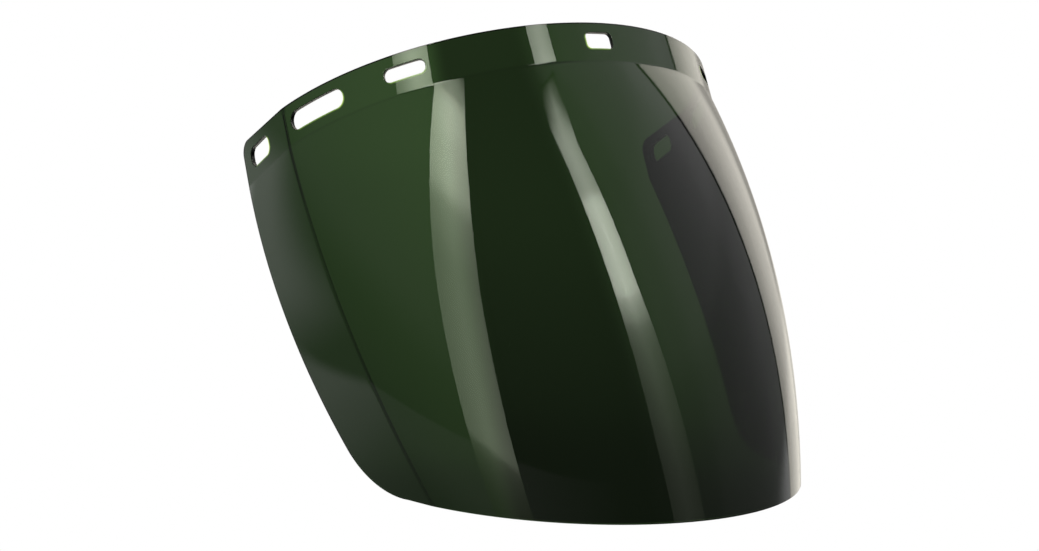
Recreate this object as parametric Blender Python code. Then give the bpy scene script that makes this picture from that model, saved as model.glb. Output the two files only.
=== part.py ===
"""Face shield window: one moulded sheet with a slotted mounting band along its top.

The sheet is described on a flat chart. s runs round the window from the middle of the front, and
h runs down from the rim. place() bends the chart into its real shape: a round front, a barrel
bulge below the band and, behind a crease on each side, a straight wing. All of that is done with
the band upright. Then the window is turned to stand on its bottom edge, with its front towards -Y.
"""
import math

import bmesh
import bpy
from mathutils import Matrix, Vector
from mathutils.geometry import delaunay_2d_cdt

# Driving dimensions, in metres. Each is taken at the middle of the sheet's thickness.
THICKNESS = 0.002
BAND_RADIUS = 0.117          # plan radius of the band
BAND_HEIGHT = 0.019          # from the rim down to the bend where the body starts
FRONT_HEIGHT = 0.2262        # from the rim's plane down to the bottom edge, at the front
CREASE_ANGLE = math.radians(76.9)        # from the middle of the front round to each crease
BAND_TILT = math.radians(26.1)           # how far the band leans back when the window stands

# The body below the band: u is 0 at the bend and 1 at the bottom of the front.
FRONT_BULGE = 0.050          # the front stands out by this times u (1 - u)
RADIUS_GAIN = 0.0135         # the plan radius grows by this times u
RADIUS_LOSS = 0.0460         # and shrinks by this times u squared

# The wings behind the creases. Their width is measured back from the crease.
WING_TURN = math.radians(10.4)           # how sharply the sheet turns in at the crease
WING_TURN_LOSS = math.radians(5.0)       # how much less it turns at the bottom of the front
WING_WIDTH = 0.0451          # at its widest
WING_WIDEST_AT = 0.041       # how far below the rim that is
WING_TAPER = 0.65            # its free edge curves in by this times the square of the distance
WING_RISE = 0.042            # slope of the rim on the wing, up towards the temple
TAB_CORNER_RADIUS = 0.0065
REAR_CORNER_RADIUS = 0.040

# Slots in the band: distance round from the front, depth below the rim, length, height, corner.
SLOTS = {
    "front": (0.0, 0.0088, 0.0135, 0.0078, 0.0022),
    "inner": (0.0900, 0.0089, 0.0190, 0.0066, 0.0029),
    "outer": (0.1364, 0.0094, 0.0315, 0.0090, 0.0042),
    "temple": (0.1843, 0.0088, 0.0188, 0.0092, 0.0038),
}

# Fineness of the faceted solid.
COLUMN_SPACING = 0.0066
ROW_SPACING = 0.0135
EDGE_SPACING = 0.0068
CORNER_STEPS = 6
SLOT_CORNER_STEPS = 3
EDGE_CLEARANCE = 0.0022      # inner points nearer than this to an outline are left out

CREASE_S = BAND_RADIUS * CREASE_ANGLE
BODY_DEPTH = FRONT_HEIGHT - BAND_HEIGHT


def body_fraction(h):
    """u: 0 on the band, then 0 to 1 from the bend to the bottom of the front."""
    return max(0.0, h - BAND_HEIGHT) / BODY_DEPTH


def front_point(angle, h):
    """A point of the round front, with the band upright and its axis on Z."""
    u = body_fraction(h)
    radius = BAND_RADIUS + RADIUS_GAIN * u - RADIUS_LOSS * u * u
    forward = BAND_RADIUS + FRONT_BULGE * u * (1 - u) - radius
    return Vector((radius * math.sin(angle), -forward - radius * math.cos(angle), -h))


def sheet_point(s, h):
    """A point in the middle of the sheet, from its place on the chart."""
    width = abs(s) - CREASE_S
    if width <= 0:
        return front_point(s / BAND_RADIUS, h)
    heading = CREASE_ANGLE + WING_TURN - WING_TURN_LOSS * body_fraction(h)
    point = front_point(CREASE_ANGLE, h) + width * Vector((math.cos(heading), math.sin(heading), 0))
    if s < 0:
        point.x = -point.x
    return point


def sheet_normal(s, h, step=1e-4):
    """The outward direction of the sheet, from its slopes along the chart."""
    across = sheet_point(s + step, h) - sheet_point(s - step, h)
    down = sheet_point(s, h + step) - sheet_point(s, h - step)
    return down.cross(across).normalized()


def place(s, h, offset):
    """A point of the sheet, moved out along its normal by offset."""
    return sheet_point(s, h) + offset * sheet_normal(s, h)


def height_over_floor(point):
    """How far a point is over the floor that the window stands on, along the band's axis."""
    return point.z + FRONT_HEIGHT - math.tan(BAND_TILT) * (point.y + BAND_RADIUS)


def floor_depth(s, offset=0.0):
    """The h at which the sheet, or one of its two faces, meets the floor."""
    h = FRONT_HEIGHT
    for _ in range(14):
        h += height_over_floor(place(s, h, offset))
    return h


def wing_width(h):
    """How far the free edge is behind the crease."""
    return WING_WIDTH - WING_TAPER * (h - WING_WIDEST_AT) ** 2


def free_edge(h):
    """A chart point on the free edge of the wing at +X."""
    return Vector((CREASE_S + wing_width(h), h))


def wing_rim(s):
    """A chart point on the wing's part of the rim, which rises a little towards the temple."""
    return Vector((s, -WING_RISE * (s - CREASE_S)))


def bottom_edge(s):
    """A chart point on the bottom edge."""
    return Vector((s, floor_depth(s)))


def spaced(start, end, spacing):
    """Evenly spaced numbers from start to end, both included."""
    count = max(1, math.ceil(abs(end - start) / spacing))
    return [start + (end - start) * k / count for k in range(count + 1)]


def round_corner(before, corner, after, radius, steps):
    """An arc of the given radius that rounds the corner between two lines."""
    to_before = (before - corner).normalized()
    to_after = (after - corner).normalized()
    half_angle = to_before.angle(to_after) / 2
    centre = corner + (to_before + to_after).normalized() * radius / math.sin(half_angle)
    tangent_length = radius / math.tan(half_angle)
    first = (corner + to_before * tangent_length - centre).normalized()
    last = (corner + to_after * tangent_length - centre).normalized()
    return [centre + radius * first.slerp(last, k / steps) for k in range(steps + 1)]


def meeting_depth():
    """The h at which the free edge, carried on down, would meet the bottom edge."""
    h = FRONT_HEIGHT
    for _ in range(20):
        h = floor_depth(CREASE_S + wing_width(h))
    return h


def half_outline():
    """The outline at +X, from the middle of the rim round to the middle of the bottom edge."""
    rim_end = CREASE_S + wing_width(0)
    top_corner = wing_rim(rim_end)
    tab = round_corner(wing_rim(CREASE_S), top_corner, free_edge(TAB_CORNER_RADIUS * 2),
                       TAB_CORNER_RADIUS, CORNER_STEPS)
    low_corner = free_edge(meeting_depth())
    rear = round_corner(free_edge(low_corner.y - REAR_CORNER_RADIUS / 2), low_corner,
                        bottom_edge(CREASE_S), REAR_CORNER_RADIUS, CORNER_STEPS)
    points = [Vector((s, 0)) for s in spaced(0, CREASE_S, COLUMN_SPACING)]
    points += [wing_rim(s) for s in spaced(CREASE_S, tab[0].x, EDGE_SPACING)[1:-1]]
    points += tab
    points += [free_edge(h) for h in spaced(tab[-1].y, rear[0].y, EDGE_SPACING * 1.5)[1:-1]]
    points += rear
    points += [bottom_edge(s) for s in spaced(rear[-1].x, CREASE_S, EDGE_SPACING)[1:-1]]
    points += [bottom_edge(s) for s in spaced(CREASE_S, 0, COLUMN_SPACING)]
    return points


def mirrored(points):
    """The same chart points on the other side, in the opposite order."""
    return [Vector((-point.x, point.y)) for point in reversed(points)]


def outline():
    """The whole edge of the sheet, as one closed loop."""
    half = half_outline()
    return half + mirrored(half)[1:-1]


def slot_loop(centre_s, centre_h, length, height, corner):
    """The closed loop of one slot: a rectangle with round corners."""
    loop = []
    for side_s, side_h, start in ((1, 1, 0), (-1, 1, 90), (-1, -1, 180), (1, -1, 270)):
        middle = Vector((centre_s + side_s * (length / 2 - corner),
                         centre_h + side_h * (height / 2 - corner)))
        for k in range(SLOT_CORNER_STEPS + 1):
            angle = math.radians(start + 90 * k / SLOT_CORNER_STEPS)
            loop.append(middle + corner * Vector((math.cos(angle), math.sin(angle))))
    return loop


def slot_loops():
    """One slot in the middle, and three more on each side of it."""
    loops = []
    for s, h, length, height, corner in SLOTS.values():
        loops.append(slot_loop(s, h, length, height, corner))
        if s > 0:
            loops.append(mirrored(loops[-1]))
    return loops


def is_inside(point, loop):
    """Whether a chart point is inside a closed loop, by counting crossings."""
    crossings = 0
    for start, end in zip(loop, loop[1:] + loop[:1]):
        if (start.y > point.y) != (end.y > point.y):
            share = (point.y - start.y) / (end.y - start.y)
            crossings += point.x < start.x + share * (end.x - start.x)
    return crossings % 2 == 1


def distance_to(point, loop):
    """The distance from a chart point to the nearest edge of a closed loop."""
    nearest = math.inf
    for start, end in zip(loop, loop[1:] + loop[:1]):
        along = end - start
        share = min(1.0, max(0.0, (point - start).dot(along) / along.length_squared))
        nearest = min(nearest, (start + share * along - point).length)
    return nearest


def inner_points(edge, slots):
    """Chart points inside the sheet: columns that keep to the creases, and rows below the bend."""
    half_columns = spaced(0, CREASE_S, COLUMN_SPACING)
    half_columns += spaced(CREASE_S, CREASE_S + WING_WIDTH, COLUMN_SPACING)[1:]
    columns = sorted({side * s for s in half_columns for side in (-1, 1)})
    rows = spaced(BAND_HEIGHT, FRONT_HEIGHT, ROW_SPACING)
    grid = [Vector((s, h)) for s in columns for h in rows]
    return [point for point in grid if is_inside(point, edge)
            and all(distance_to(point, loop) > EDGE_CLEARANCE for loop in [edge] + slots)]


def sharp_lines(points):
    """Pairs of points that follow each other along a crease or along the bend below the band."""
    pairs = []
    for axis, value in ((0, CREASE_S), (0, -CREASE_S), (1, BAND_HEIGHT)):
        line = [k for k, point in enumerate(points) if abs(point[axis] - value) < 1e-9]
        line.sort(key=lambda k: points[k][1 - axis])
        pairs += list(zip(line, line[1:]))
    return pairs


def chart():
    """The flat triangles of the sheet: the points and the corners of each triangle."""
    edge = outline()
    slots = slot_loops()
    points = []
    lines = []
    for loop in [edge] + slots:
        first = len(points)
        points += loop
        lines += [(first + k, first + (k + 1) % len(loop)) for k in range(len(loop))]
    points += inner_points(edge, slots)
    lines += sharp_lines(points)
    flat, _, triangles, *_ = delaunay_2d_cdt(points, lines, [], 0, 1e-7)
    kept = []
    for corners in triangles:
        middle = sum((flat[k] for k in corners), Vector((0, 0))) / 3
        if is_inside(middle, edge) and not any(is_inside(middle, loop) for loop in slots):
            kept.append(corners)
    return flat, kept


def face_point(s, h, offset):
    """A point on one face of the sheet. Along the bottom edge it lies on the floor."""
    lowest = floor_depth(s, offset)
    on_bottom_edge = h > floor_depth(s) - 1e-6
    return place(s, lowest if on_bottom_edge else min(h, lowest), offset)


def sheet_mesh():
    """The solid sheet: an outer face, an inner face and the walls between them."""
    flat, triangles = chart()
    solid = bmesh.new()
    outer = [solid.verts.new(face_point(point.x, point.y, THICKNESS / 2)) for point in flat]
    inner = [solid.verts.new(face_point(point.x, point.y, -THICKNESS / 2)) for point in flat]
    for triangle in triangles:
        solid.faces.new([outer[k] for k in reversed(triangle)])
        solid.faces.new([inner[k] for k in triangle])
    partner = dict(zip(outer, inner))
    edges_of_outer = [edge for edge in solid.edges if edge.is_boundary and edge.verts[0] in partner]
    for edge in edges_of_outer:
        start = edge.link_loops[0].vert
        end = edge.other_vert(start)
        solid.faces.new((end, start, partner[start], partner[end]))
    loose = [vertex for vertex in solid.verts if not vertex.link_faces]
    bmesh.ops.delete(solid, geom=loose, context="VERTS")
    mesh = bpy.data.meshes.new("visor_window")
    solid.to_mesh(mesh)
    solid.free()
    return mesh


def tinted_plastic():
    """Dark green see-through plastic with a moulded gloss."""
    material = bpy.data.materials.new("tinted_window")
    material.use_nodes = True
    shader = material.node_tree.nodes["Principled BSDF"]
    shader.inputs["Base Color"].default_value = (0.03, 0.11, 0.035, 1)
    shader.inputs["Roughness"].default_value = 0.05
    shader.inputs["Metallic"].default_value = 0.0
    shader.inputs["Transmission Weight"].default_value = 0.9
    shader.inputs["IOR"].default_value = 1.58
    return material


def stand_up(window):
    """Lean the band back so that the bottom edge is level, and centre the window over the origin."""
    turn = Matrix.Rotation(-BAND_TILT, 3, "X")
    places = [turn @ vertex.co for vertex in window.data.vertices]
    lowest = Vector([min(place[axis] for place in places) for axis in range(3)])
    highest = Vector([max(place[axis] for place in places) for axis in range(3)])
    window.rotation_euler.x = -BAND_TILT
    window.location = (-(lowest.x + highest.x) / 2, -(lowest.y + highest.y) / 2, -lowest.z)


def clear_scene():
    for item in list(bpy.data.objects):
        bpy.data.objects.remove(item, do_unlink=True)


def build():
    clear_scene()
    mesh = sheet_mesh()
    mesh.materials.append(tinted_plastic())
    window = bpy.data.objects.new("visor_window", mesh)
    bpy.context.scene.collection.objects.link(window)
    stand_up(window)
    mesh.shade_smooth()
    mesh.set_sharp_from_angle(angle=math.radians(8))


build()
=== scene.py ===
"""The looks of the face shield window: a finer copy of the CAD sheet, and a small studio round it.

The sheet is described on the same flat chart as the CAD part: s runs round the window from the
middle of the front, and h runs down from the rim. Here the rows and columns are finer, the bend
and the creases have a small radius, and every edge is rounded over.

The light isn't a plain studio's. It was matched to the brightness of the photo, as seen from the
photo's camera, with measurements that were rounded and then adjusted. Directions are in
degrees: azimuth 0 is towards -Y and 90 is towards +X, and elevation is over the horizon.
"""

import math

import bpy
import numpy as np
from mathutils import Matrix, Vector
from mathutils.geometry import delaunay_2d_cdt


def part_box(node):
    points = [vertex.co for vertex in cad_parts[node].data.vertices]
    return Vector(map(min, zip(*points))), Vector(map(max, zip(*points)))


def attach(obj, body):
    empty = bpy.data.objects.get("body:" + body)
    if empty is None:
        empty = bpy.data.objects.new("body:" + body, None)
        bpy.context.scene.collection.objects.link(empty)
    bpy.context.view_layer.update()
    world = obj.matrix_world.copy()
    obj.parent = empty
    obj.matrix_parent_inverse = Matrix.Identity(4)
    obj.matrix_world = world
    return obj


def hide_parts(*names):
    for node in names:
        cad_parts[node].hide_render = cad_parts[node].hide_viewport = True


# The sheet, in metres, as in the CAD part.
THICKNESS = 0.002
BAND_RADIUS = 0.117
BAND_HEIGHT = 0.019
FRONT_HEIGHT = 0.2262
CREASE_ANGLE = math.radians(76.9)
BAND_TILT = math.radians(26.1)
FRONT_BULGE = 0.050
RADIUS_GAIN = 0.0135
RADIUS_LOSS = 0.0460
WING_TURN = math.radians(10.4)
WING_TURN_LOSS = math.radians(5.0)
WING_WIDTH = 0.0451
WING_WIDEST_AT = 0.041
WING_TAPER = 0.65
WING_RISE = 0.042
TAB_CORNER_RADIUS = 0.0065
REAR_CORNER_RADIUS = 0.040
# For each slot: its middle as s and h, its length, its height and the radius of its corners. A slot
# off the middle of the front has a mirror copy on the other side.
SLOTS = (
    (0.0, 0.0088, 0.0135, 0.0078, 0.0022),
    (0.0900, 0.0089, 0.0190, 0.0066, 0.0029),
    (0.1364, 0.0094, 0.0315, 0.0090, 0.0042),
    (0.1843, 0.0088, 0.0188, 0.0092, 0.0038),
)

# What the looks add.
BEND_HALF_WIDTH = 0.0006     # the bend below the band is rounded over this much on each side
CREASE_HALF_WIDTH = 0.0004   # and so are the creases
CREASE_FILL = 0.0005         # how much thicker the sheet is in the inner corner of a crease
EDGE_ROUND = 0.00035         # how far the rounding of an edge reaches
EDGE_ROUND_STEPS = 4
COLUMN_SPACING = 0.0026      # between points, round the window
ROW_SPACING = 0.0036         # between points, down the window
EDGE_SPACING = 0.0024        # between points of the wings' edges and of the slots
CORNER_STEPS = 16
SLOT_CORNER_STEPS = 10
FOLD_STEPS = (-1, -0.5, 0, 0.5, 1)  # rows or columns across a fold, in half widths of it
EDGE_CLEARANCE = 0.0017      # inner points stay this far from the outline
SLOT_CLEARANCE = 0.0010      # and this far from a slot
BOTTOM_EDGE_FROM = 0.10      # the bottom edge has no point with a smaller h
ON_FLOOR = 1e-6              # a point this close to the floor's h is on the bottom edge
SAME_POINT = 1e-8            # chart points this close together are one point
FLOOR_ROUNDS = 14            # rounds of the search for the floor
CORNER_ROUNDS = 20           # rounds of the search for the lower rear corner

CREASE_S = BAND_RADIUS * CREASE_ANGLE
BODY_DEPTH = FRONT_HEIGHT - BAND_HEIGHT

# The plastic.
REFRACTION = 1.58
TINT = (0.17, 0.335, 0.07, 1)
TINT_DENSITY = 2200.0
POLISH = 0.015               # the roughness of the clean sheet
HAZE = 0.05                  # what smudges add to it
WALL_ROUGHNESS = 0.3         # what the cut walls of the slots add to it
SMUDGE_SCALE = 14.0
SMUDGE_DETAIL = 5.0
WALL_GLOW_COLOUR = (1.0, 0.86, 0.5, 1)
WALL_GLOW = 3.6

# The camera, solved from the outline in the photo: its axes, its place and its lens in millimetres.
CAMERA_RIGHT = (0.8495, -0.5274, 0.0131)
CAMERA_UP = (0.0447, 0.0967, 0.9943)
CAMERA_BACK = (-0.5257, -0.8441, 0.1057)
CAMERA_PLACE = (-0.44803, -0.66903, 0.17468)
CAMERA_LENS = 61.45
CAMERA_FRAME = 36.0
CAMERA_NEAR = 0.05
CAMERA_FAR = 20.0

# The floor is a square, a little below the window so that the two don't touch.
FLOOR_HALF_WIDTH = 6
FLOOR_TOP = -0.0005

# The world's light, in degrees and in shares of full white, matched to the photo.
DEGREES = math.degrees(1)    # turns radians into degrees
VIEW_HEADING = 31.91         # which way the camera looks, from +Y towards +X
RIGHT_WALL_LEAN = 0.22       # how far round the bright wall's edge moves, for each degree up
RIGHT_WALL_WARMTH = (0.0, 0.04, 0.14)  # the red, green and blue that the wall's light lacks
LEFT_WALL_LIGHT = 0.36
LOW_RIGHT_LIGHT = 0.45
GAP_SHADE = 0.85             # how much darker the room is in the gap beside the bright wall
TABLE_DROP = 0.2586          # how far the table's far edge is below the horizon, as a tangent
TABLE_HEADING = math.radians(-150)  # the azimuth at which it is lowest
TABLE_LIFT = 0.012           # raises that edge by as much all the way round
TABLE_SIDE_LEAN = 0.95       # how far the table's side edge falls, for each degree round
TABLE_SIDE_OFFSET = 146.8
BACKDROP_ELEVATIONS = (-20, -13.3, -11.7, -10.1, -6.9, -3.6, -0.4, 12)

# The two strips of light. They stand round the window, this far from the middle.
STRIP_DISTANCE = 0.6
STRIP_COLUMNS = 8
STRIP_ROW_SPACING = 0.02
STRIP_SIDE_LOSS = 0.33       # how much darker a strip is at its sides than along its middle
STRIP_TOP_SIDE_LOSS = 0.6    # what its top adds to that

# For each strip: its two sides as height, left and right azimuth, and its light at some heights.
# The sides follow the highlights in the photo.
LEFT_STRIP_COLOUR = (0.89, 1.0, 0.76, 1)
LEFT_STRIP_SIDES = ((-0.25, -77.4, -60.5), (0.35, -79.0, -62.4), (1.4, -79.0, -62.2))
LEFT_STRIP_LIGHT = (
    (-0.25, 0.1), (-0.05, 0.45), (-0.006, 0.9), (0.02, 1.9), (0.2, 1.9), (0.33, 1.9), (0.42, 2.3),
    (0.50, 3.0), (0.54, 4.2), (0.60, 5.9), (0.75, 6.8), (0.92, 7.7), (1.04, 6.5), (1.12, 3.9),
    (1.4, 2.5),
)
RIGHT_STRIP_COLOUR = (0.93, 1.0, 0.84, 1)
RIGHT_STRIP_SIDES = (
    (0.0, 4.0, 21.0), (0.2, 1.7, 18.4), (0.5, 0.6, 14.7), (1.1, -1.0, 14.6), (1.25, -1.5, 17.6),
    (1.5, 1.5, 24.0), (1.75, 9.0, 32.0),
)
RIGHT_STRIP_LIGHT = (
    (0.0, 0.3), (0.2, 0.5), (0.36, 1.0), (0.40, 1.4), (0.44, 2.9), (0.49, 5.5), (0.53, 8.2),
    (0.79, 8.4), (0.88, 4.9), (1.1, 4.8), (1.3, 3.8), (1.42, 3.0), (1.5, 2.2), (1.67, 0.8),
    (1.75, 0.0),
)


def eased(x, half_width):
    """0 for negative x and x for positive x, with a round corner between."""
    if x <= -half_width:
        return 0.0
    if x >= half_width:
        return x
    return (x + half_width) ** 2 / (4 * half_width)


def body_fraction(h):
    """0 on the band, and 1 where the middle of the front meets the floor."""
    return eased(h - BAND_HEIGHT, BEND_HALF_WIDTH) / BODY_DEPTH


def front_point(angle, h):
    """A point on the band or the front, at an angle round from the middle."""
    u = body_fraction(h)
    radius = BAND_RADIUS + RADIUS_GAIN * u - RADIUS_LOSS * u * u
    forward = BAND_RADIUS + FRONT_BULGE * u * (1 - u) - radius
    return Vector((radius * math.sin(angle), -forward - radius * math.cos(angle), -h))


def sheet_point(s, h):
    """A point in the middle of the sheet, from its place on the chart."""
    behind = eased(abs(s) - CREASE_S, CREASE_HALF_WIDTH)
    heading = CREASE_ANGLE + WING_TURN - WING_TURN_LOSS * body_fraction(h)
    point = front_point((abs(s) - behind) / BAND_RADIUS, h)
    point += behind * Vector((math.cos(heading), math.sin(heading), 0))
    if s < 0:
        point.x = -point.x
    return point


def sheet_normal(s, h, step=5e-5):
    """The direction out of the window, square to the sheet."""
    across = sheet_point(s + step, h) - sheet_point(s - step, h)
    down = sheet_point(s, h + step) - sheet_point(s, h - step)
    return down.cross(across).normalized()


def crease_fill(s):
    """The extra thickness on the inner face, next to a crease."""
    away = abs(abs(s) - CREASE_S) / CREASE_HALF_WIDTH
    return CREASE_FILL * math.cos(min(away, 1.0) * math.pi / 2) ** 2


def place(s, h, offset):
    """A point that far out from the middle of the sheet."""
    return sheet_point(s, h) + offset * sheet_normal(s, h)


def height_over_floor(point):
    """How far a point is over the floor, measured along the upright of the band."""
    return point.z + FRONT_HEIGHT - math.tan(BAND_TILT) * (point.y + BAND_RADIUS)


def floor_depth(s, offset=0.0):
    """The h at which the sheet, or one of its two faces, meets the floor."""
    h = FRONT_HEIGHT
    for _ in range(FLOOR_ROUNDS):
        h += height_over_floor(place(s, h, offset))
    return h


def wing_width(h):
    """How far the wing reaches behind the crease."""
    return WING_WIDTH - WING_TAPER * (h - WING_WIDEST_AT) ** 2


def free_edge(h):
    return Vector((CREASE_S + wing_width(h), h))


def wing_rim(s):
    return Vector((s, -WING_RISE * (s - CREASE_S)))


def bottom_edge(s):
    return Vector((s, floor_depth(s)))


def spaced(start, end, spacing):
    """Numbers from start to end, evenly spaced and no further apart than the spacing."""
    count = max(1, math.ceil(abs(end - start) / spacing))
    return [start + (end - start) * k / count for k in range(count + 1)]


def round_corner(before, corner, after, radius, steps):
    """An arc of the given radius that rounds the corner between two lines."""
    to_before = (before - corner).normalized()
    to_after = (after - corner).normalized()
    half_angle = to_before.angle(to_after) / 2
    centre = corner + (to_before + to_after).normalized() * radius / math.sin(half_angle)
    tangent_length = radius / math.tan(half_angle)
    first = (corner + to_before * tangent_length - centre).normalized()
    last = (corner + to_after * tangent_length - centre).normalized()
    return [centre + radius * first.slerp(last, k / steps) for k in range(steps + 1)]


def meeting_depth():
    """The h at which the free edge, carried on down, would meet the bottom edge."""
    h = FRONT_HEIGHT
    for _ in range(CORNER_ROUNDS):
        h = floor_depth(CREASE_S + wing_width(h))
    return h


def half_outline():
    """The outline at +X, from the middle of the rim round to the middle of the bottom edge."""
    rim_end = CREASE_S + wing_width(0)
    top_corner = wing_rim(rim_end)
    tab = round_corner(wing_rim(CREASE_S), top_corner, free_edge(TAB_CORNER_RADIUS * 2),
                       TAB_CORNER_RADIUS, CORNER_STEPS)
    low_corner = free_edge(meeting_depth())
    rear = round_corner(free_edge(low_corner.y - REAR_CORNER_RADIUS / 2), low_corner,
                        bottom_edge(CREASE_S), REAR_CORNER_RADIUS, CORNER_STEPS)
    points = [Vector((s, 0)) for s in spaced(0, CREASE_S, COLUMN_SPACING)]
    points += [wing_rim(s) for s in spaced(CREASE_S, tab[0].x, EDGE_SPACING)[1:-1]]
    points += tab
    points += [free_edge(h) for h in spaced(tab[-1].y, rear[0].y, EDGE_SPACING)[1:-1]]
    points += rear
    points += [bottom_edge(s) for s in spaced(rear[-1].x, CREASE_S, EDGE_SPACING)[1:-1]]
    points += [bottom_edge(s) for s in spaced(CREASE_S, 0, COLUMN_SPACING)]
    return points


def mirrored(points):
    """Chart points on the other side, in the order that keeps the way round."""
    return [Vector((-point.x, point.y)) for point in reversed(points)]


def outline():
    """The whole outline as a closed loop."""
    half = half_outline()
    return half + mirrored(half)[1:-1]


def slot_loop(centre_s, centre_h, length, height, corner):
    """The closed loop of one slot: a rectangle with round corners."""
    loop = []
    for side_s, side_h, start in ((1, 1, 0), (-1, 1, 90), (-1, -1, 180), (1, -1, 270)):
        middle = Vector((centre_s + side_s * (length / 2 - corner),
                         centre_h + side_h * (height / 2 - corner)))
        for k in range(SLOT_CORNER_STEPS + 1):
            angle = math.radians(start + 90 * k / SLOT_CORNER_STEPS)
            loop.append(middle + corner * Vector((math.cos(angle), math.sin(angle))))
    dense = []
    for start, end in zip(loop, loop[1:] + loop[:1]):
        count = max(1, math.ceil((end - start).length / EDGE_SPACING))
        dense += [start.lerp(end, k / count) for k in range(count)]
    return dense


def slot_loops():
    """The closed loops of all the slots."""
    loops = []
    for s, h, length, height, corner in SLOTS:
        loops.append(slot_loop(s, h, length, height, corner))
        if s > 0:
            loops.append(mirrored(loops[-1]))
    return loops


class Loop:
    """A closed loop on the chart, with quick tests of where a point is."""

    def __init__(self, points):
        self.points = points
        self.start = np.array([tuple(point) for point in points])
        self.along = np.roll(self.start, -1, axis=0) - self.start

    def holds(self, point):
        """Whether a point is inside the loop, by counting crossings."""
        low, high = self.start[:, 1], self.start[:, 1] + self.along[:, 1]
        crossed = (low > point.y) != (high > point.y)
        share = (point.y - low[crossed]) / self.along[crossed, 1]
        crossings = self.start[crossed, 0] + share * self.along[crossed, 0] > point.x
        return int(crossings.sum()) % 2 == 1

    def distance(self, point):
        """The distance from a point to the nearest edge of the loop."""
        away = np.array(tuple(point)) - self.start
        share = (away * self.along).sum(1) / (self.along ** 2).sum(1)
        nearest = away - np.clip(share, 0, 1)[:, None] * self.along
        return float(np.sqrt((nearest ** 2).sum(1).min()))

    def sides(self):
        """For each point, the direction on the chart that leads into the loop."""
        turning = np.roll(self.along, 1, axis=0)
        along = self.along / np.linalg.norm(self.along, axis=1)[:, None]
        along += turning / np.linalg.norm(turning, axis=1)[:, None]
        after = self.start + self.along
        area = (self.start[:, 0] * after[:, 1] - after[:, 0] * self.start[:, 1]).sum()
        side = np.stack([-along[:, 1], along[:, 0]], 1) * (1 if area > 0 else -1)
        return [Vector(direction).normalized() for direction in side]


def inner_points(edge, slots):
    """Chart points inside the sheet, closer together across the bend and the creases."""
    clear = CREASE_HALF_WIDTH + COLUMN_SPACING / 2
    half_columns = spaced(0, CREASE_S - clear, COLUMN_SPACING)
    half_columns += [CREASE_S + step * CREASE_HALF_WIDTH for step in FOLD_STEPS]
    half_columns += spaced(CREASE_S + clear, CREASE_S + WING_WIDTH, COLUMN_SPACING)
    columns = sorted({side * s for s in half_columns for side in (-1, 1)})
    rows = spaced(ROW_SPACING, BAND_HEIGHT - ROW_SPACING / 2, ROW_SPACING)
    rows += [BAND_HEIGHT + step * BEND_HALF_WIDTH for step in FOLD_STEPS]
    rows += spaced(BAND_HEIGHT + ROW_SPACING / 2, FRONT_HEIGHT, ROW_SPACING)
    points = []
    for s in columns:
        for h in rows:
            point = Vector((s, h))
            if not edge.holds(point) or edge.distance(point) < EDGE_CLEARANCE:
                continue
            if h < BAND_HEIGHT and any(slot.holds(point) or slot.distance(point) < SLOT_CLEARANCE
                                       for slot in slots):
                continue
            points.append(point)
    return points


def chart():
    """The flat sheet: its points, its triangles and its loops.

    For each loop there are its points, the directions from them into the sheet, and whether it is
    a slot.
    """
    edge = Loop(outline())
    slots = [Loop(loop) for loop in slot_loops()]
    points = []
    lines = []
    rims = []
    for loop in [edge] + slots:
        first = len(points)
        count = len(loop.points)
        points += loop.points
        lines += [(first + k, first + (k + 1) % count) for k in range(count)]
        inward = loop.sides() if loop is edge else [-side for side in loop.sides()]
        rims.append((range(first, first + count), inward, loop is not edge))
    points += inner_points(edge, slots)
    flat, _, triangles, *_ = delaunay_2d_cdt(points, lines, [], 0, SAME_POINT)
    kept = []
    for corners in triangles:
        middle = sum((flat[k] for k in corners), Vector((0, 0))) / 3
        in_slot = middle.y < BAND_HEIGHT and any(slot.holds(middle) for slot in slots)
        if edge.holds(middle) and not in_slot:
            kept.append(corners)
    return flat, kept, rims


def rim_depth(s, h, offset):
    """h of an edge point on one face: the bottom edge is cut level with the floor."""
    on_bottom_edge = h > BOTTOM_EDGE_FROM and h > floor_depth(s) - ON_FLOOR
    return floor_depth(s, offset) if on_bottom_edge else h


class Skin:
    """Points, the direction each one faces, whether it is on a slot's wall, and the faces."""

    def __init__(self):
        self.points = []
        self.normals = []
        self.on_slot_wall = []
        self.faces = []

    def add(self, point, normal, on_slot_wall=False):
        self.points.append(point)
        self.normals.append(normal.normalized())
        self.on_slot_wall.append(float(on_slot_wall))
        return len(self.points) - 1

    def join(self, *corners):
        """Adds a face, turned so that it faces the way its points do."""
        first, second, third = (self.points[k] for k in corners[:3])
        facing = (second - first).cross(third - first)
        towards = sum((self.normals[k] for k in corners), Vector((0, 0, 0)))
        self.faces.append(corners if facing.dot(towards) > 0 else corners[::-1])


def rounded_corner(skin, vertex, corner, across, along, on_slot_wall):
    """A row of points from a face's edge round to the wall, which runs on from it across."""
    face_end = skin.points[vertex]
    wall_end = corner + EDGE_ROUND * across
    outward = skin.normals[vertex] + (corner - face_end).normalized()
    row = [vertex]
    for k in range(1, EDGE_ROUND_STEPS + 1):
        t = k / EDGE_ROUND_STEPS
        point = (1 - t) ** 2 * face_end + 2 * t * (1 - t) * corner + t * t * wall_end
        slope = (1 - t) * (corner - face_end) + t * (wall_end - corner)
        normal = along.cross(slope)
        if normal.dot(outward) < 0:
            normal = -normal
        row.append(skin.add(point, normal, on_slot_wall))
    return row


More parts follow.
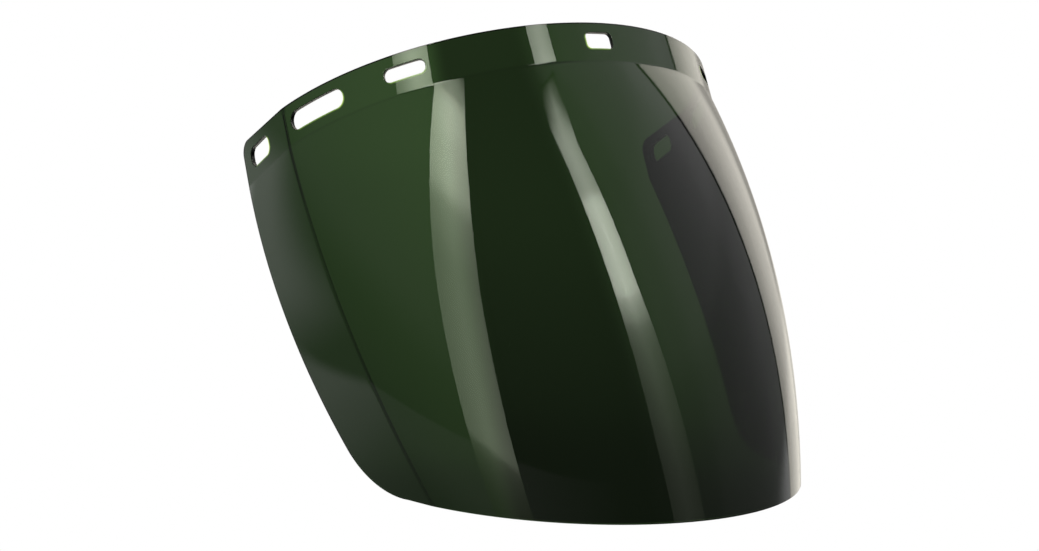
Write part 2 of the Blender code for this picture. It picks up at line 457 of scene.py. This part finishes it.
def sheet_skin():
    """The closed sheet: an outer face, an inner face and round edges between them."""
    flat, triangles, rims = chart()
    skin = Skin()
    inset = {}
    for loop, inward, _ in rims:
        inset.update({k: EDGE_ROUND * side for k, side in zip(loop, inward)})
    corners = []
    for face, offset in enumerate((THICKNESS / 2, -THICKNESS / 2)):
        corners.append({})
        for k, (s, h) in enumerate(flat):
            if k in inset:
                h = rim_depth(s, h, offset)
                corners[face][k] = place(s, h, offset)
                s, h = Vector((s, h)) + inset[k]
            normal = sheet_normal(s, h)
            if offset > 0:
                skin.add(sheet_point(s, h) + offset * normal, normal)
            else:
                skin.add(sheet_point(s, h) + (offset - crease_fill(s)) * normal, -normal)
    for a, b, c in triangles:
        skin.join(a, b, c)
        skin.join(a + len(flat), b + len(flat), c + len(flat))
    outer, inner = corners
    for loop, _, is_slot in rims:
        rows = []
        for number, k in enumerate(loop):
            before = loop[number - 1]
            after = loop[(number + 1) % len(loop)]
            along = (outer[after] - outer[before]).normalized()
            across = (inner[k] - outer[k]).normalized()
            near = rounded_corner(skin, k, outer[k], across, along, is_slot)
            far = rounded_corner(skin, k + len(flat), inner[k], -across, along, is_slot)
            rows.append(near + far[::-1])
        for here, there in zip(rows, rows[1:] + rows[:1]):
            for a, b, c, d in zip(here, here[1:], there[1:], there):
                skin.join(a, b, c, d)
    return skin


def window_mesh(low, high):
    """The sheet, standing on its bottom edge and fitted to the CAD part's box."""
    skin = sheet_skin()
    turn = np.array(Matrix.Rotation(-BAND_TILT, 3, "X"))
    points = np.array([tuple(point) for point in skin.points]) @ turn.T
    normals = np.array([tuple(normal) for normal in skin.normals]) @ turn.T
    own_low, own_high = points.min(0), points.max(0)
    fit = (np.array(high) - np.array(low)) / (own_high - own_low)
    points = np.array(low) + (points - own_low) * fit
    mesh = bpy.data.meshes.new("tinted_sheet")
    mesh.from_pydata([tuple(point) for point in points], [], skin.faces)
    walls = mesh.attributes.new("slot_wall", "FLOAT", "POINT")
    walls.data.foreach_set("value", skin.on_slot_wall)
    mesh.shade_smooth()
    mesh.normals_split_custom_set_from_vertices([tuple(normal) for normal in normals])
    return mesh


class Number:
    """A number in a node tree that can be worked with like a plain one."""

    def __init__(self, tree, socket):
        self.tree = tree
        self.socket = socket

    def math(self, operation, *others):
        """The result of one Math node, with this number first."""
        node = self.tree.nodes.new("ShaderNodeMath")
        node.operation = operation
        for socket, item in zip(node.inputs, (self,) + others):
            if isinstance(item, Number):
                self.tree.links.new(item.socket, socket)
            else:
                socket.default_value = item
        return Number(self.tree, node.outputs[0])

    def __add__(self, other):
        return self.math("ADD", other)

    def __mul__(self, other):
        return self.math("MULTIPLY", other)

    def __sub__(self, other):
        return self.math("SUBTRACT", other)

    def fades_in(self, low, high):
        """0 at low, with a smooth rise to 1 at high. Low may be the larger of the two."""
        node = self.tree.nodes.new("ShaderNodeMapRange")
        node.interpolation_type = "SMOOTHSTEP"
        node.inputs["From Min"].default_value = min(low, high)
        node.inputs["From Max"].default_value = max(low, high)
        node.inputs["To Min"].default_value = float(low > high)
        node.inputs["To Max"].default_value = float(low < high)
        self.tree.links.new(self.socket, node.inputs["Value"])
        return Number(self.tree, node.outputs["Result"])

    def curve(self, points):
        """A smooth curve through (number, level) pairs, level at both ends."""
        first, last = points[0][0], points[-1][0]
        top = max(level for _, level in points)
        share = (self - first) * (1 / (last - first))
        node = self.tree.nodes.new("ShaderNodeFloatCurve")
        node.mapping.extend = "HORIZONTAL"
        knots = node.mapping.curves[0].points
        for _ in points[2:]:
            knots.new(0.5, 0.5)
        for knot, (number, level) in zip(knots, points):
            knot.location = ((number - first) / (last - first), level / top)
            knot.handle_type = "AUTO_CLAMPED"
        node.mapping.update()
        self.tree.links.new(share.socket, node.inputs["Value"])
        return Number(self.tree, node.outputs["Value"]) * top


def tinted_plastic():
    """Clear plastic that takes away light all along its way through.

    The walls of the slots are rough. Where they are seen through the sheet they give off a little
    light of their own, which stands for the light that a real cut edge scatters.
    """
    material = bpy.data.materials.new("tinted_plastic")
    material.use_nodes = True
    tree = material.node_tree
    shader = tree.nodes["Principled BSDF"]
    shader.inputs["Base Color"].default_value = (1, 1, 1, 1)
    shader.inputs["Transmission Weight"].default_value = 1.0
    shader.inputs["IOR"].default_value = REFRACTION
    attribute = tree.nodes.new("ShaderNodeAttribute")
    attribute.attribute_name = "slot_wall"
    wall = Number(tree, attribute.outputs["Fac"])
    where = tree.nodes.new("ShaderNodeTexCoord")
    smudges = tree.nodes.new("ShaderNodeTexNoise")
    smudges.inputs["Scale"].default_value = SMUDGE_SCALE
    smudges.inputs["Detail"].default_value = SMUDGE_DETAIL
    tree.links.new(where.outputs["Object"], smudges.inputs["Vector"])
    haze = Number(tree, smudges.outputs["Fac"]).fades_in(0.45, 0.75) * HAZE
    roughness = wall * WALL_ROUGHNESS + haze + POLISH
    tree.links.new(roughness.socket, shader.inputs["Roughness"])
    side = tree.nodes.new("ShaderNodeNewGeometry")
    from_inside = Number(tree, side.outputs["Backfacing"])
    shader.inputs["Emission Color"].default_value = WALL_GLOW_COLOUR
    glow = wall * from_inside * WALL_GLOW
    tree.links.new(glow.socket, shader.inputs["Emission Strength"])
    tint = tree.nodes.new("ShaderNodeVolumeAbsorption")
    tint.inputs["Color"].default_value = TINT
    tint.inputs["Density"].default_value = TINT_DENSITY
    tree.links.new(tint.outputs["Volume"], tree.nodes["Material Output"].inputs["Volume"])
    return material


def blend(low, high, share):
    """low where share is 0, and high where it is 1. low is a Number."""
    return low + (low * -1 + high) * share


def direction(tree):
    """Where a ray of the world's light comes from: x, y, z, azimuth and elevation."""
    towards = tree.nodes.new("ShaderNodeTexCoord")
    parts = tree.nodes.new("ShaderNodeSeparateXYZ")
    tree.links.new(towards.outputs["Generated"], parts.inputs[0])
    x, y, z = (Number(tree, output) for output in parts.outputs)
    azimuth = x.math("ARCTAN2", y * -1) * DEGREES
    elevation = z.math("ARCSINE") * DEGREES
    return x, y, z, azimuth, elevation


def across_right_wall(azimuth, elevation):
    """The azimuth that counts for the edge of the bright wall, which leans."""
    return azimuth + elevation * RIGHT_WALL_LEAN


def room_light(azimuth, elevation):
    """What the window mirrors: a dim room, with a bright wall to the right.

    A dimmer wall stands to the left, and a thin dark gap runs down beside the bright one.
    """
    high = elevation.curve([(-25, 0.28), (-5, 0.32), (5, 0.42), (12, 0.54), (22, 0.64), (28, 0.88),
                            (42, 1.0), (52, 0.8), (90, 0.7)])
    right = azimuth.curve([(-5, 0.0), (10, 0.05), (24, 0.21), (34, 0.25), (43, 0.35), (58, 0.43),
                           (78, 0.54), (89, 0.64), (180, 0.7)])
    middle = azimuth.curve([(-180, 0.13), (-152, 0.11), (-140, 0.08), (-85, 0.07), (-62, 0.05),
                            (0, 0.05), (22, 0.02), (180, 0.0)])
    left = azimuth.curve([(-150, 0.0), (-125, 0.09), (-80, 0.07), (-66, 0.0)])
    left = left * elevation.fades_in(0, 15)
    low_right = azimuth.fades_in(80, 101) * elevation.fades_in(-1, -5) * LOW_RIGHT_LIGHT

    wall_side = across_right_wall(azimuth, elevation)
    right_wall = wall_side.fades_in(100.2, 101.8) * elevation.curve(
        [(-20, 0.7), (-6, 0.85), (2, 1.05), (10, 1.25), (20, 1.3), (30, 1.1), (60, 1.1)])
    right_wall = right_wall * wall_side.curve([(100, 0.72), (106, 0.95), (113, 1.12), (120, 1.1),
                                               (130, 0.25), (180, 0.25)])
    left_wall = (azimuth + elevation * 1.1).fades_in(-151.3, -153.6) * LEFT_WALL_LIGHT
    left_wall = left_wall * elevation.fades_in(-13, -5)

    gap = wall_side.fades_in(99.2, 99.8) * wall_side.fades_in(101.0, 100.5)
    beside_gap = gap * elevation.fades_in(-5, -3.5) * -GAP_SHADE + 1.0
    return (right * high + middle + left + low_right) * beside_gap + right_wall + left_wall


def table_light(azimuth, elevation, x, y, z):
    """The table, mirrored low on the window, which is a little lighter than the room."""
    flat = (x * x + y * y).math("SQRT")
    lean_x = TABLE_DROP * math.sin(TABLE_HEADING)
    lean_y = -TABLE_DROP * math.cos(TABLE_HEADING)
    far_edge = z + x * lean_x + y * lean_y - flat * TABLE_LIFT
    side_edge = elevation + azimuth * TABLE_SIDE_LEAN + TABLE_SIDE_OFFSET
    on_side = azimuth.fades_in(-127, -131)
    lit = blend(far_edge.fades_in(0.006, -0.006), side_edge.fades_in(0.3, -0.3), on_side)
    lit = lit * elevation.curve([(-30, 0.1), (-24, 0.25), (-19, 0.7), (-15, 1.0)])
    return lit * azimuth.curve([(-180, 0.36), (-140, 0.30), (-120, 0.11), (-80, 0.10), (-50, 0.05),
                                (-20, 0.0)])


def light_behind(x, y, elevation):
    """What is seen through the window: a backdrop that is dark low down in the middle.

    It has three parts, side by side. Well to the side of the view it is plain white.
    """
    heading = x.math("ARCTAN2", y) * DEGREES - VIEW_HEADING

    def down(*levels):
        return elevation.curve(list(zip(BACKDROP_ELEVATIONS, levels)))

    left = down(0.3, 0.40, 0.62, 0.72, 0.92, 1.15, 1.38, 1.3)
    middle = down(0.1, 0.11, 0.13, 0.19, 0.30, 0.42, 0.47, 0.8)
    right = down(0.1, 0.12, 0.22, 0.40, 0.65, 0.78, 0.95, 1.0)
    seen = blend(middle, left, (heading + elevation * 0.17).fades_in(-2.3, -3.1))
    seen = blend(seen, right, (heading + elevation * 0.37).fades_in(0.3, 1.5))
    near_view = heading.math("ABSOLUTE").fades_in(24, 17)
    return blend(seen * 0 + 1.0, seen, near_view)


def studio_world():
    """The light from all round.

    The camera itself sees plain white, light that passes through the window comes from the
    backdrop, and all other light comes from the room and the table.
    """
    world = bpy.data.worlds.new("studio")
    bpy.context.scene.world = world
    world.use_nodes = True
    tree = world.node_tree
    x, y, z, azimuth, elevation = direction(tree)
    mirrored_light = room_light(azimuth, elevation) + table_light(azimuth, elevation, x, y, z)
    path = tree.nodes.new("ShaderNodeLightPath")
    through = Number(tree, path.outputs["Is Transmission Ray"])
    straight = Number(tree, path.outputs["Is Camera Ray"])
    light = blend(mirrored_light, light_behind(x, y, elevation), through)
    light = blend(light, 1.0, straight)
    background = tree.nodes["Background"]
    tree.links.new(light.socket, background.inputs["Strength"])
    on_right_wall = across_right_wall(azimuth, elevation).fades_in(98, 102)
    warm = on_right_wall * (through + straight).fades_in(0.5, 0.4)
    colour = tree.nodes.new("ShaderNodeCombineColor")
    for channel, loss in zip(("Red", "Green", "Blue"), RIGHT_WALL_WARMTH):
        tree.links.new((warm * -loss + 1.0).socket, colour.inputs[channel])
    tree.links.new(colour.outputs[0], background.inputs["Color"])


def add_object(name, data):
    obj = bpy.data.objects.new(name, data)
    bpy.context.scene.collection.objects.link(obj)
    return obj


def show_only_to(obj, ray):
    """Hides an object from every kind of ray but one."""
    for kind in ("camera", "glossy", "transmission", "diffuse", "shadow"):
        setattr(obj, "visible_" + kind, kind == ray)


def glowing_material(name):
    """A material that only gives off light, and the node that does it."""
    material = bpy.data.materials.new(name)
    material.use_nodes = True
    tree = material.node_tree
    tree.nodes.clear()
    emission = tree.nodes.new("ShaderNodeEmission")
    output = tree.nodes.new("ShaderNodeOutputMaterial")
    tree.links.new(emission.outputs[0], output.inputs["Surface"])
    return material, emission


def strip_mesh(name, sides):
    """A strip bent round the window. Its map holds the share of its width, and the height."""
    heights, left_side, right_side = zip(*sides)
    points = []
    places = []
    for height in spaced(heights[0], heights[-1], STRIP_ROW_SPACING):
        left = math.radians(np.interp(height, heights, left_side))
        right = math.radians(np.interp(height, heights, right_side))
        for column in range(STRIP_COLUMNS + 1):
            share = column / STRIP_COLUMNS
            azimuth = left + (right - left) * share
            points.append((STRIP_DISTANCE * math.sin(azimuth),
                           -STRIP_DISTANCE * math.cos(azimuth), height))
            places.append((share, height))
    row = STRIP_COLUMNS + 1
    faces = [(k, k + 1, k + 1 + row, k + row)
             for k in range(len(points) - row) if k % row < STRIP_COLUMNS]
    mesh = bpy.data.meshes.new(name)
    mesh.from_pydata(points, [], faces)
    chart_map = mesh.uv_layers.new(name="UVMap")
    for loop in mesh.loops:
        chart_map.data[loop.index].uv = places[loop.vertex_index]
    return mesh


def strip_material(name, colour, levels):
    """The glow of a strip: the levels give its light by height, and its sides are darker."""
    material, emission = glowing_material(name)
    tree = material.node_tree
    chart_map = tree.nodes.new("ShaderNodeUVMap")
    parts = tree.nodes.new("ShaderNodeSeparateXYZ")
    tree.links.new(chart_map.outputs["UV"], parts.inputs[0])
    share = Number(tree, parts.outputs[0])
    height = Number(tree, parts.outputs[1])
    from_middle = ((share - 0.5) * 2).math("ABSOLUTE")
    side_loss = height.fades_in(1.15, 1.45) * STRIP_TOP_SIDE_LOSS + STRIP_SIDE_LOSS
    glow = (from_middle * side_loss * -1 + 1.0) * height.curve(levels)
    emission.inputs["Color"].default_value = colour
    tree.links.new(glow.socket, emission.inputs["Strength"])
    return material


def strip_light(name, colour, sides, levels):
    """A tall strip of light, which only the window's reflections show."""
    strip = add_object(name, strip_mesh(name, sides))
    strip.data.materials.append(strip_material(name, colour, levels))
    show_only_to(strip, "glossy")


def floor():
    """A plain white floor, which only the camera sees, as bright as the white behind it."""
    mesh = bpy.data.meshes.new("floor")
    corners = [(side_x * FLOOR_HALF_WIDTH, side_y * FLOOR_HALF_WIDTH, FLOOR_TOP)
               for side_x, side_y in ((-1, -1), (1, -1), (1, 1), (-1, 1))]
    mesh.from_pydata(corners, [], [(0, 1, 2, 3)])
    mesh.materials.append(glowing_material("floor")[0])
    plane = add_object("floor", mesh)
    show_only_to(plane, "camera")


def camera():
    data = bpy.data.cameras.new("camera")
    data.lens = CAMERA_LENS
    data.sensor_width = CAMERA_FRAME
    data.clip_start = CAMERA_NEAR
    data.clip_end = CAMERA_FAR
    eye = add_object("camera", data)
    axes = Matrix((CAMERA_RIGHT, CAMERA_UP, CAMERA_BACK)).transposed()
    eye.matrix_world = axes.to_4x4()
    eye.location = CAMERA_PLACE
    bpy.context.scene.camera = eye


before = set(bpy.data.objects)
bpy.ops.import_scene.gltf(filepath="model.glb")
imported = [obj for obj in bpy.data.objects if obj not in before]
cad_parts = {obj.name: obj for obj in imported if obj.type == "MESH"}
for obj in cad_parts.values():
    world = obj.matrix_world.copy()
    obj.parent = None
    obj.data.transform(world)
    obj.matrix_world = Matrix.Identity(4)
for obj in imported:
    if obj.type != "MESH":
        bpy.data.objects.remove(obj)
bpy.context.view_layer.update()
window = add_object("tinted_sheet", window_mesh(*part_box("visor_window")))
window.data.materials.append(tinted_plastic())
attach(window, "root")
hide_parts("visor_window")
camera()
studio_world()
floor()
strip_light("left_strip", LEFT_STRIP_COLOUR, LEFT_STRIP_SIDES, LEFT_STRIP_LIGHT)
strip_light("right_strip", RIGHT_STRIP_COLOUR, RIGHT_STRIP_SIDES, RIGHT_STRIP_LIGHT)
bpy.context.scene.view_settings.view_transform = "Standard"
